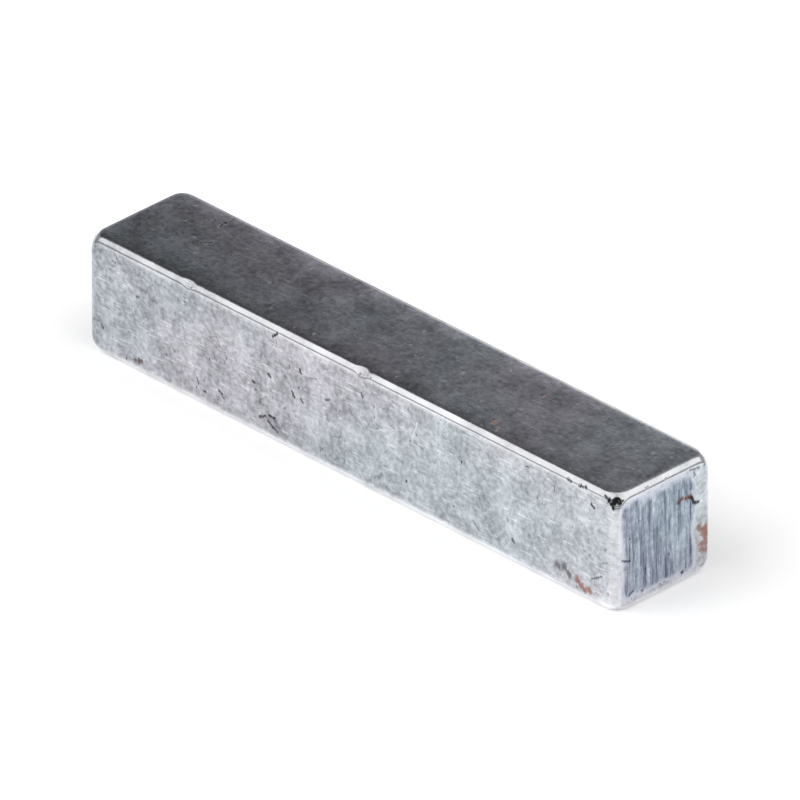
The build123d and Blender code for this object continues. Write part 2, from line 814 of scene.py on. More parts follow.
def new_group(name: str, kind: str, takes: list[SocketSpec], gives: list[SocketSpec]) -> Tree:
    """Make an empty node group with named sockets.

    Args:
        name: The group's name.
        kind: ShaderNodeTree or GeometryNodeTree.
        takes: Its inputs.
        gives: Its outputs.

    Returns:
        The group, ready for nodes.
    """
    group = bpy.data.node_groups.new(name, kind)
    for specs, way in ((takes, "INPUT"), (gives, "OUTPUT")):
        for spec in specs:
            socket = group.interface.new_socket(spec.name, in_out=way, socket_type=spec.kind)
            if spec.value is not None:
                socket.default_value = spec.value
    return Tree(group)


def new_geometry_group(name: str, *takes: SocketSpec) -> Tree:
    """Make an empty geometry node group that takes and gives a geometry, besides its named inputs."""
    geometry = SocketSpec("Geometry", GEOMETRY)
    return new_group(name, "GeometryNodeTree", [geometry, *takes], [geometry])


@dataclass(frozen=True)
class PitScatter:
    """Geometry Nodes that add small pits, strewn over the flats, to the marks. Lengths are in metres."""

    per_square_mm: float = 0.42
    smallest: float = 0.035 * MM
    largest: float = 0.095 * MM
    small_bias: float = 2.5
    depth_share: float = 0.22
    least_soot: float = 0.3
    soot_range: float = 0.55
    clean_share: float = 0.94
    rust: float = 0.6
    seed: int = 7

    def group(self, material: bpy.types.Material) -> bpy.types.NodeTree:
        """Build the tree.

        Args:
            material: The material that the result is given.

        Returns:
            The geometry node tree.
        """
        sizes = floats(
            Density=self.per_square_mm / MM**2, Smallest=self.smallest, Largest=self.largest,
            Depth_Share=self.depth_share,
        )
        flats, seed = SocketSpec("Flats", OBJECT), SocketSpec("Seed", INTEGER, self.seed)
        t = new_geometry_group("strew pits", flats, *sizes, seed)
        given = t.add("NodeGroupInput").outputs
        faces = t.add("GeometryNodeObjectInfo", i0=given["Flats"]).outputs["Geometry"]
        strewn = t.add(
            "GeometryNodeDistributePointsOnFaces", Mesh=faces, Density=given["Density"], Seed=given["Seed"],
        )

        def chance(turn: int) -> bpy.types.NodeSocket:
            """Draw a number from 0 to 1 for each pit.

            Args:
                turn: The number of the draw, so that each draw is another one.

            Returns:
                The drawn number.
            """
            node = t.add("FunctionNodeRandomValue", {"data_type": "FLOAT"})
            t.feed(node.inputs["Seed"], t.math("ADD", given["Seed"], float(turn)))
            return node.outputs[1]

        spread = t.math("SUBTRACT", given["Largest"], given["Smallest"])
        bigger = t.math("MULTIPLY", spread, t.math("POWER", chance(1), self.small_bias))
        radius = t.math("ADD", given["Smallest"], bigger)
        values: dict[str, object] = {
            "radius": radius,
            "depth": t.math("MULTIPLY", radius, given["Depth Share"]),
            "soot": t.math("ADD", self.least_soot, t.math("MULTIPLY", chance(2), self.soot_range)),
            "rust": t.math("MULTIPLY", t.math("GREATER_THAN", chance(3), self.clean_share), self.rust),
            "shine": 0.0,
        }
        geometry = strewn.outputs["Points"]
        for name, value in values.items():
            geometry = t.store(geometry, "mark_" + name, value)
        loose = t.add("GeometryNodePointsToVertices", i0=geometry)
        both = t.add("GeometryNodeJoinGeometry")
        for part in (given["Geometry"], loose.outputs[0]):
            t.feed(both.inputs[0], part)
        t.add("NodeGroupOutput", Geometry=t.dressed(both.outputs[0], material))
        return t.tree


@dataclass(frozen=True)
class MarkStamp:
    """Geometry Nodes that press each vertex in by its nearest mark and store how dark or rusty it is.

    Attributes:
        ragged: How uneven a mark's outline is, as a share of its radius.
        ragged_scale: How many swings the outline makes a metre.
        pressed_range: Where the pressed form starts and where it is whole, in radii.
        soot_range: The same for soot.
        halo: Where rust starts, in radii.
        rust_core: Where rust is whole, in radii.
        stretch: How much narrower a mark is along each axis.
    """

    ragged: float = 0.6
    ragged_scale: float = 16000.0
    pressed_range: tuple[float, float] = (1.0, 0.25)
    soot_range: tuple[float, float] = (1.5, 0.2)
    halo: float = 1.9
    rust_core: float = 0.3
    stretch: tuple[float, float, float] = (1.3, 0.85, 0.85)

    def group(self, material: bpy.types.Material) -> bpy.types.NodeTree:
        """Build the tree.

        Args:
            material: The material that the result is given.

        Returns:
            The geometry node tree.
        """
        sizes = floats(Depth_Factor=1.0, Raggedness=self.ragged, Halo=self.halo)
        t = new_geometry_group("stamp marks", SocketSpec("Marks", OBJECT), *sizes)
        given = t.add("NodeGroupInput").outputs
        marks = t.add("GeometryNodeObjectInfo", i0=given["Marks"]).outputs["Geometry"]
        nearest = t.add("GeometryNodeSampleNearest", {"domain": "POINT"}, Geometry=marks).outputs[0]

        def sampled(value: bpy.types.NodeSocket, kind: str = "FLOAT") -> bpy.types.NodeSocket:
            """Read a value of the nearest mark.

            Args:
                value: The value.
                kind: Its type.

            Returns:
                The mark's value.
            """
            settings = {"data_type": kind, "domain": "POINT"}
            node = t.add("GeometryNodeSampleIndex", settings, Geometry=marks, Value=value, Index=nearest)
            return node.outputs[0]

        position = t.add("GeometryNodeInputPosition").outputs[0]
        offset = t.vector("SUBTRACT", i0=position, i1=sampled(position, "FLOAT_VECTOR"))
        away = t.vector("LENGTH", i0=t.vector("MULTIPLY", i0=offset, i1=self.stretch))
        share = t.math("DIVIDE", away, sampled(t.named("mark_radius")))
        uneven = t.noise(position, self.ragged_scale, 2.0)
        bent = t.math("MULTIPLY", t.math("SUBTRACT", uneven, 0.5), given["Raggedness"])
        ragged = t.math("ADD", share, t.math("MULTIPLY", bent, 2.0))
        pressed = t.ramp(ragged, *self.pressed_range)
        sooty = t.ramp(ragged, *self.soot_range)
        rusty = t.ramp(ragged, given["Halo"], self.rust_core)
        depth = t.math("MULTIPLY", sampled(t.named("mark_depth")), given["Depth Factor"])
        geometry = given["Geometry"]
        for layer, spread in ((Layer.SOOT, sooty), (Layer.RUST, rusty), (Layer.SHINE, pressed)):
            strength = t.math("MULTIPLY", sampled(t.named("mark_" + layer.value)), spread)
            geometry = t.store(geometry, layer.value, t.math("MAXIMUM", t.named(layer.value), strength))
        moved = t.press(geometry, t.math("MULTIPLY", depth, pressed))
        t.add("NodeGroupOutput", Geometry=t.dressed(moved, material))
        return t.tree


@dataclass(frozen=True)
class SawLines:
    """Geometry Nodes that cut the blade's fine upright lines into both ends. Lengths are in metres."""

    depth: float = 0.005 * MM
    lines_per_mm: float = 5.2
    lean: float = 0.30
    lean_aside: float = 0.1
    end_shift: float = 17.0
    line_range: tuple[float, float] = (0.40, 0.66)

    def group(self, drawn: bpy.types.Material, sawn: bpy.types.Material) -> bpy.types.NodeTree:
        """Build the tree.

        Args:
            drawn: The material of the long flats.
            sawn: The material of the ends.

        Returns:
            The geometry node tree.
        """
        sizes = floats(Depth=self.depth, Lines_per_mm=self.lines_per_mm, Lean=self.lean, Seed=0.0)
        t = new_geometry_group("saw lines", *sizes)
        given = t.add("NodeGroupInput").outputs
        place = t.add("ShaderNodeSeparateXYZ", Vector=t.add("GeometryNodeInputPosition").outputs[0]).outputs
        across = t.math("MULTIPLY", place["Y"], 1 / MM)
        up = t.math("MULTIPLY", place["Z"], 1 / MM)
        which = t.math("ADD", t.math("MULTIPLY", t.math("SIGN", place["X"]), self.end_shift), given["Seed"])
        aside = t.math("MULTIPLY", up, t.math("MULTIPLY", given["Lean"], self.lean_aside))
        line = t.math("MULTIPLY", t.math("ADD", across, aside), given["Lines per mm"])
        spot = t.add("ShaderNodeCombineXYZ", X=line, Y=t.math("MULTIPLY", up, given["Lean"]), Z=which)
        lines = t.noise(spot.outputs[0], 1.0, 4.0, 0.8)
        sawn_field = t.named(Layer.SAWN.value)
        groove = t.math("MULTIPLY", t.ramp(lines, *self.line_range), sawn_field)
        stored = t.store(given["Geometry"], Layer.GROOVE.value, groove)
        moved = t.press(stored, t.math("MULTIPLY", groove, given["Depth"]))
        whole = t.dressed(moved, drawn)
        on_end = t.math("GREATER_THAN", sawn_field, 0.0)
        ends = t.add("GeometryNodeSetMaterial", Geometry=whole, Selection=on_end, Material=sawn)
        t.add("NodeGroupOutput", Geometry=ends.outputs[0])
        return t.tree


def run_geometry_nodes(piece: bpy.types.Object, group: bpy.types.NodeTree, **inputs: object) -> None:
    """Run a geometry node tree on a piece and keep the result as its plain mesh, with no modifier left.

    Args:
        piece: The piece.
        group: The tree.
        inputs: Values for its named inputs.
    """
    modifier = piece.modifiers.new(group.name, "NODES")
    modifier.node_group = group
    for item in group.interface.items_tree:
        if item.in_out == "INPUT" and item.name in inputs:
            modifier[item.identifier] = inputs[item.name]
    bpy.context.view_layer.update()
    graph = bpy.context.evaluated_depsgraph_get()
    made = bpy.data.meshes.new_from_object(piece.evaluated_get(graph), depsgraph=graph)
    piece.modifiers.remove(modifier)
    old = piece.data
    piece.data = made
    made.name = piece.name
    bpy.data.meshes.remove(old)


class SharedGroup:
    """A shader node group that is built once and placed in each material."""

    group: bpy.types.NodeTree

    def use(self, tree: Tree, **inputs: object) -> dict[str, bpy.types.NodeSocket]:
        """Place the group in a material and return its outputs by name."""
        node = tree.add("ShaderNodeGroup", {"node_tree": self.group}, **inputs)
        return {socket.name: socket for socket in node.outputs}


class GrainGroup(SharedGroup):
    """What every steel face has: speckle, clouds, a slow change of cast, hairlines and a fine height."""

    speckle_size: float = 0.21
    cloud_size: float = 1.3
    cast_size: float = 6.0
    cast_range: tuple[float, float] = (0.35, 0.65)
    tooth_size: float = 0.05
    tooth_share: float = 0.4
    speckle_share: float = 0.6
    hairline_turns: tuple[Turn, ...] = ((0.3, 0.5, 0.35), (0.2, -0.9, 1.1), (-0.4, 0.2, -0.5))
    hairline_stretch: tuple[float, float, float] = (1.3, 11.0, 11.0)
    hairline_range: tuple[float, float] = (0.66, 0.76)

    def __init__(self) -> None:
        """Build the group once."""
        masks = floats(Speckle=None, Cloud=None, Cast=None, Hairline=None, Height=None)
        sizes = floats(Speckle_Size=self.speckle_size, Cloud_Size=self.cloud_size)
        t = new_group("steel grain", "ShaderNodeTree", sizes, [SocketSpec("Place", VECTOR), *masks])
        self.group = t.tree
        given = t.add("NodeGroupInput").outputs
        objects = t.add("ShaderNodeTexCoord").outputs["Object"]
        place = t.add("ShaderNodeMapping", Vector=objects, Scale=(1 / MM, 1 / MM, 1 / MM)).outputs[0]

        def cloud(size: object, detail: float, roughness: float) -> bpy.types.NodeSocket:
            """Return a noise of this size in millimetres."""
            return t.noise(place, t.math("DIVIDE", 1.0, size), detail, roughness)

        def hairline(turn: Turn) -> bpy.types.NodeSocket:
            """Return fine lines that run along this turn."""
            turned = t.add("ShaderNodeMapping", Vector=place, Rotation=turn, Scale=self.hairline_stretch)
            return t.ramp(t.noise(turned.outputs[0], 1.0, 1.0), *self.hairline_range)

        fine = cloud(given["Speckle Size"], 1.0, 0.7)
        first, second, third = (hairline(turn) for turn in self.hairline_turns)
        tooth = t.math("MULTIPLY", cloud(self.tooth_size, 2.0, 0.7), self.tooth_share)
        t.add(
            "NodeGroupOutput", Place=place, Speckle=fine,
            Cloud=cloud(given["Cloud Size"], 3.0, 0.75),
            Cast=t.ramp(cloud(self.cast_size, 1.0, 0.5), *self.cast_range),
            Hairline=t.math("MAXIMUM", t.math("MAXIMUM", first, second), third),
            Height=t.math("ADD", t.math("MULTIPLY", fine, self.speckle_share), tooth),
        )


class WearGroup(SharedGroup):
    """Rubbed edges with a painted highlight, soot and rust, laid over a steel colour."""

    # the rubbed edges are lightened nearly to white: partly real polish, partly a painted highlight
    rub_and_highlight_gain: float = 0.85
    rubbed_and_highlight_colour: Colour = (0.97, 0.975, 1.0)
    shine_gain: float = 0.7
    shine_colour: Colour = (0.84, 0.85, 0.88)
    flecks_per_mm: float = 9.0
    soot_unevenness: float = 0.3
    soot_range: tuple[float, float] = (0.05, 1.05)
    soot_start: tuple[float, float] = (0.0, 0.1)
    soot_colour: Colour = (0.018, 0.017, 0.019)
    rust_unevenness: float = 2.4
    rust_range: tuple[float, float] = (0.15, 1.1)
    rust_start: tuple[float, float] = (0.02, 0.3)
    most_rust: float = 0.8
    rust_colours: tuple[Colour, Colour] = ((0.12, 0.04, 0.025), (0.60, 0.26, 0.15))
    rust_colour_range: tuple[float, float] = (0.3, 0.7)

    def __init__(self) -> None:
        """Build the group once."""
        takes = [SocketSpec("Colour", COLOUR), SocketSpec("Place", VECTOR), *floats(Rub_Gain=self.rub_and_highlight_gain)]
        gives = [SocketSpec("Colour", COLOUR), *floats(Rust=None, Soot=None, Rub=None)]
        t = new_group("steel wear", "ShaderNodeTree", takes, gives)
        self.group = t.tree
        given = t.add("NodeGroupInput").outputs
        soot_layer, rust_layer, rub = t.layer(Layer.SOOT), t.layer(Layer.RUST), t.layer(Layer.RUB)
        flecks = t.noise(given["Place"], self.flecks_per_mm, 4.0, 0.7)
        rust = t.math("ADD", rust_layer, t.swing(flecks, self.rust_unevenness))
        rust = t.ramp(rust, *self.rust_range, to_high=self.most_rust)
        rust = t.math("MULTIPLY", rust, t.ramp(rust_layer, *self.rust_start))
        soot = t.math("ADD", soot_layer, t.swing(flecks, self.soot_unevenness))
        soot = t.math("MULTIPLY", t.ramp(soot, *self.soot_range), t.ramp(soot_layer, *self.soot_start))
        # painted highlight: the rubbed edges are mixed towards the near-white colour
        colour = t.mix(t.math("MULTIPLY", rub, given["Rub Gain"]), given["Colour"], self.rubbed_and_highlight_colour)
        shine = t.math("MULTIPLY", t.layer(Layer.SHINE), self.shine_gain)
        colour = t.mix(soot, t.mix(shine, colour, self.shine_colour), self.soot_colour)
        rust_colour = t.mix(t.ramp(flecks, *self.rust_colour_range), *self.rust_colours)
        colour = t.mix(rust, colour, rust_colour)
        t.add("NodeGroupOutput", Colour=colour, Rust=rust, Soot=soot, Rub=rub)


def new_material(name: str) -> tuple[bpy.types.Material, Tree]:
    """Make a material.

    Args:
        name: Its name.

    Returns:
        The material and its tree, which is empty.
    """
    material = bpy.data.materials.new(name)
    material.use_nodes = True
    material.node_tree.nodes.clear()
    return material, Tree(material.node_tree)


@dataclass(frozen=True)
class SteelFinish:
    """A finish of the key's steel.

    Attributes:
        name: The material's name.
        dark: The steel's colour in its darkest specks.
        light: Its colour in its lightest specks.
        groove: Its colour in saw lines, or None where there are none.
        skirt: Its colour round the sawn field, or None where there is none.
        roughness: How dull it is.
        tooth: How deep its fine grain is, in metres.
        speckle_gain: How strongly the speckle shows.
        cloud_gain: How strongly the clouds show.
        hairline_gain: How bright the hairlines are.
        fade_per_mm: How much lighter the steel gets towards the sawn end.
        warm_cast: The tint of its warmer patches.
        cool_cast: The tint of its cooler patches.
        rubbed_roughness: How dull it is where it is rubbed bright.
        cloud_roughness: How much duller it gets in its light clouds.
        groove_roughness: How much duller it gets in saw lines.
        spoilt_roughness: How much duller it gets under soot or rust.
        spoilt_metal: How much less it shines as metal there.
        rubbed_tooth: How much of its fine grain is rubbed away on the edges.
    """

    name: str
    dark: Colour
    light: Colour
    groove: Colour | None
    skirt: Colour | None
    roughness: float
    tooth: float = 0.005 * MM
    speckle_gain: float = 0.58
    cloud_gain: float = 0.85
    hairline_gain: float = 0.22
    fade_per_mm: float = 0.004
    warm_cast: Colour = (1.0, 0.98, 0.99)
    cool_cast: Colour = (0.93, 1.0, 0.985)
    rubbed_roughness: float = 0.15
    cloud_roughness: float = 0.08
    groove_roughness: float = 0.12
    spoilt_roughness: float = 0.4
    spoilt_metal: float = 0.85
    rubbed_tooth: float = 0.8

    def material(self, grain: GrainGroup, wear: WearGroup) -> bpy.types.Material:
        """Build the material.

        Args:
            grain: The shared grain.
            wear: The shared wear.

        Returns:
            The material.
        """
        material, t = new_material(self.name)
        steel = grain.use(t)
        speckle = t.swing(steel["Speckle"], self.speckle_gain)
        clouds = t.swing(steel["Cloud"], self.cloud_gain)
        along = t.add("ShaderNodeSeparateXYZ", Vector=steel["Place"]).outputs["X"]
        toward_saw = t.math("MULTIPLY", along, self.fade_per_mm)
        share = t.math("ADD", t.math("ADD", t.math("ADD", 0.5, speckle), clouds), toward_saw, clamp=True)
        hairlines = t.math("MULTIPLY", steel["Hairline"], self.hairline_gain)
        colour = t.mix(t.math("ADD", share, hairlines, clamp=True), self.dark, self.light)
        colour = t.mix(1.0, colour, t.mix(steel["Cast"], self.warm_cast, self.cool_cast), "MULTIPLY")
        rough = t.math("ADD", self.roughness, t.math("MULTIPLY", clouds, self.cloud_roughness))
        if self.groove is not None:
            line = t.layer(Layer.GROOVE)
            colour = t.mix(t.layer(Layer.SAWN), self.skirt, t.mix(line, colour, self.groove))
            rough = t.math("ADD", rough, t.math("MULTIPLY", line, self.groove_roughness))
        worn = wear.use(t, Colour=colour, Place=steel["Place"])
        smoother = t.math("MULTIPLY", worn["Rub"], t.math("SUBTRACT", rough, self.rubbed_roughness))
        spoilt = t.math("MAXIMUM", worn["Rust"], worn["Soot"])
        duller = t.math("MULTIPLY", spoilt, self.spoilt_roughness)
        rough = t.math("ADD", t.math("SUBTRACT", rough, smoother), duller, clamp=True)
        metal = t.math("SUBTRACT", 1.0, t.math("MULTIPLY", spoilt, self.spoilt_metal))
        kept_tooth = t.math("SUBTRACT", 1.0, t.math("MULTIPLY", worn["Rub"], self.rubbed_tooth))
        height = t.math("MULTIPLY", steel["Height"], kept_tooth)
        bump = t.add("ShaderNodeBump", Strength=1.0, Distance=self.tooth, Height=height)
        shader = t.add(
            "ShaderNodeBsdfPrincipled", Base_Color=worn["Colour"], Metallic=metal, Roughness=rough,
            Normal=bump.outputs[0], Specular_IOR_Level=0.1,
        )
        t.add("ShaderNodeOutputMaterial", Surface=shader.outputs[0])
        return material


DRAWN = SteelFinish("drawn_steel", (0.01, 0.013, 0.03), (0.93, 0.935, 0.995), None, None, 0.27)
SAWN = SteelFinish(
    "sawn_steel", (0.06, 0.09, 0.15), (0.78, 0.83, 0.93), (0.10, 0.12, 0.18), (0.62, 0.64, 0.73), 0.32,
)


def way_to(azimuth: float, elevation: float) -> Vector:
    """Return the way from the key to a place round it, from angles in degrees."""
    a, e = math.radians(azimuth), math.radians(elevation)
    return Vector((math.sin(a) * math.cos(e), -math.cos(a) * math.cos(e), math.sin(e)))


def side_of(azimuth: float) -> Vector:
    """Return the way sideways, to the right as seen from a place at this azimuth."""
    return Vector((math.cos(math.radians(azimuth)), math.sin(math.radians(azimuth)), 0))


def straight_ray(t: Tree) -> bpy.types.NodeSocket:
    """Tell the rays that go straight from the eye, or by a mirror or glass, from the rest.

    Args:
        t: The tree.

    Returns:
        1 for camera, glossy and transmission rays, and 0 for the rest.
    """
    path = t.add("ShaderNodeLightPath").outputs
    mirrored = t.math("ADD", path["Is Glossy Ray"], path["Is Transmission Ray"])
    return t.math("ADD", path["Is Camera Ray"], mirrored, clamp=True)


@dataclass
class Studio:
    """The floor, the cards that the steel reflects, the lamps and the camera. Lengths are in metres."""

    middle: Vector
    azimuth: float = 45.36
    elevation: float = 29.98
    reach: float = 1.0
    frame_width: float = 29.733 * MM
    aside: float = 0.089 * MM
    below: float = 0.020 * MM
    sensor: float = 36.0
    floor_half: float = 3.0
    floor_tone: float = 0.93
    floor_glow: float = 0.22
    card_foot: float = 12.0
    card_brow: float = 34.0
    foot_gain: float = 13.0
    crown_gain: float = 1.5
    side_span: float = 15 * MM
    wall_panels: int = 12
    lamp_distance: float = 0.5
    world_light: float = 0.40

    def camera(self) -> None:
        """Stand the camera far off with a long lens, looking down at the key from its sawn end."""
        back, right = way_to(self.azimuth, self.elevation), side_of(self.azimuth)
        up = back.cross(right)
        data = bpy.data.cameras.new("camera")
        data.sensor_width = self.sensor
        data.lens = self.sensor * self.reach / self.frame_width
        data.clip_start, data.clip_end = 0.01, 10.0
        camera = show("camera", data)
        camera.rotation_mode = "QUATERNION"
        camera.rotation_quaternion = (-back).to_track_quat("-Z", "Y")
        camera.location = self.middle + back * self.reach + right * self.aside - up * self.below
        bpy.context.scene.camera = camera

    def sheet(self, name: str, corners: list[Vector], material: bpy.types.Material) -> bpy.types.Object:
        """Make a flat sheet that belongs to the stage.

        Args:
            name: The sheet's name.
            corners: Its corners, in order.
            material: Its material.

        Returns:
            The sheet.
        """
        mesh = bpy.data.meshes.new(name)
        mesh.from_pydata([tuple(c) for c in corners], [], [tuple(range(len(corners)))])
        mesh.materials.append(material)
        sheet = show(name, mesh)
        return sheet

    def floor(self) -> None:
        """Lay a pale floor that can be seen through from below."""
        material, t = new_material("pale_floor")
        tone, far = self.floor_tone, self.floor_half
        strength = t.math("MULTIPLY", straight_ray(t), self.floor_glow)
        glow = t.add("ShaderNodeEmission", Color=(1, 1, 1, 1), Strength=strength)
        dull = t.add("ShaderNodeBsdfDiffuse", Color=(tone, tone, tone, 1))
        paint = t.add("ShaderNodeAddShader", i0=dull.outputs[0], i1=glow.outputs[0])
        clear = t.add("ShaderNodeBsdfTransparent")
        behind = t.add("ShaderNodeNewGeometry").outputs["Backfacing"]
        both = t.add("ShaderNodeMixShader", i0=behind, i1=paint.outputs[0], i2=clear.outputs[0])
        t.add("ShaderNodeOutputMaterial", Surface=both.outputs[0])
        corners = [Vector((x * far, y * far, 0)) for x, y in ((-1, -1), (1, -1), (1, 1), (-1, 1))]
        self.sheet("floor", corners, material)

    def graded(
        self, t: Tree, azimuth: float, distance: float, tone: float, side_fade: float,
    ) -> bpy.types.NodeSocket:
        """Grade a card's glow, brighter towards its foot and its crown, and changing sideways.

        Args:
            t: The card's material tree.
            azimuth: The way the card lies from the key, in degrees.
            distance: How far off it stands.
            tone: How bright it is at its brow.
            side_fade: By what share its brightness changes sideways.

        Returns:
            The strength of its glow.
        """
        place = t.add("ShaderNodeTexCoord").outputs["Object"]
        across = t.vector("DOT_PRODUCT", i0=place, i1=side_of(azimuth))
        height = t.add("ShaderNodeSeparateXYZ", Vector=place).outputs["Z"]
        foot, brow = (distance * math.tan(math.radians(e)) for e in (self.card_foot, self.card_brow))
        low = t.ramp(height, foot, brow, self.foot_gain, 1.0)
        high = t.ramp(height, brow, 3 * brow, 0.0, self.crown_gain)
        sideways = t.ramp(across, -self.side_span, self.side_span, 1.0 - side_fade, 1.0 + side_fade)
        return t.math("MULTIPLY", t.math("MULTIPLY", t.math("ADD", low, high), sideways), tone)

    def card(
        self, name: str, azimuth: float, distance: float, width: float, low: float, high: float, tone: float,
        side_fade: float | None = None,
    ) -> None:
        """Stand a grey card that only the steel sees, as a photographer does to darken a face.

        Args:
            name: The card's name.
            azimuth: The way it lies from the key, in degrees, as a camera's azimuth is given.
            distance: How far off it stands.
            width: Its width.
            low: The elevation of its lower edge, in degrees.
            high: The elevation of its upper edge, in degrees.
            tone: How bright it is.
            side_fade: By what share a graded card's brightness changes sideways, or None for an even card.
        """
        material, t = new_material(name)
        strength = tone if side_fade is None else self.graded(t, azimuth, distance, tone, side_fade)
        glow = t.add("ShaderNodeEmission", Color=(1.0, 1.0, 1.04, 1), Strength=strength)
        t.add("ShaderNodeOutputMaterial", Surface=glow.outputs[0])
        out, side = way_to(azimuth, 0.0) * distance, side_of(azimuth) * (width / 2)
        heights = [distance * math.tan(math.radians(e)) for e in (low, low, high, high)]
        corners = [out + side * s + Vector((0, 0, h)) for s, h in zip((-1, 1, 1, -1), heights)]
        sheet = self.sheet(name, corners, material)
        sheet.visible_camera = sheet.visible_diffuse = sheet.visible_shadow = False

    def low_wall(self, distance: float, high: float, tone: float) -> None:
        """Stand a low grey wall all round, which only the steel sees, for a thin dark line along its edges.

        Args:
            distance: How far off it stands.
            high: The elevation of its upper edge, in degrees.
            tone: How bright it is.
        """
        width = 2 * distance * math.tan(math.pi / self.wall_panels)
        for i in range(self.wall_panels):
            self.card(f"low_wall_{i:02d}", 360 * i / self.wall_panels, distance, width, 0.0, high, tone)

    def lamp(self, name: str, azimuth: float, elevation: float, size: float, power: float) -> None:
        """Hang a square soft lamp that shines at the key.

        Args:
            name: The lamp's name.
            azimuth: Its direction, in degrees.
            elevation: Its height above the floor, in degrees.
            size: The length of its side.
            power: Its power in watts.
        """
        data = bpy.data.lights.new(name, "AREA")
        data.shape, data.size, data.energy = "SQUARE", size, power
        lamp = show(name, data)
        way = way_to(azimuth, elevation)
        lamp.location = self.middle + way * self.lamp_distance
        lamp.rotation_mode = "QUATERNION"
        lamp.rotation_quaternion = (-way).to_track_quat("-Z", "Y")
        lamp.visible_glossy = False

    def world(self) -> None:
        """Make the surround white to the camera and to the steel, and a soft light to all else."""
        world = bpy.data.worlds.new("studio")
        bpy.context.scene.world = world
        world.use_nodes = True
        world.node_tree.nodes.clear()
        t = Tree(world.node_tree)
        strength = t.math("ADD", self.world_light, t.math("MULTIPLY", straight_ray(t), 1 - self.world_light))
        glow = t.add("ShaderNodeBackground", Color=(1, 1, 1, 1), Strength=strength)
        t.add("ShaderNodeOutputWorld", Surface=glow.outputs[0])

    def build(self) -> None:
        """Set the whole stage."""
        self.floor()
        self.card(
            "back_card", self.azimuth + 180, distance=0.07, width=0.24, low=0.5, high=63.0, tone=0.096,
            side_fade=-0.55,
        )
        self.low_wall(distance=0.05, high=20.0, tone=0.36)
        self.lamp("key_lamp", self.azimuth - 75, elevation=44, size=0.50, power=1.7)
        self.lamp("fill_lamp", self.azimuth + 60, elevation=55, size=0.45, power=0.8)
        self.world()
        self.camera()
        bpy.context.scene.view_settings.view_transform = "Standard"


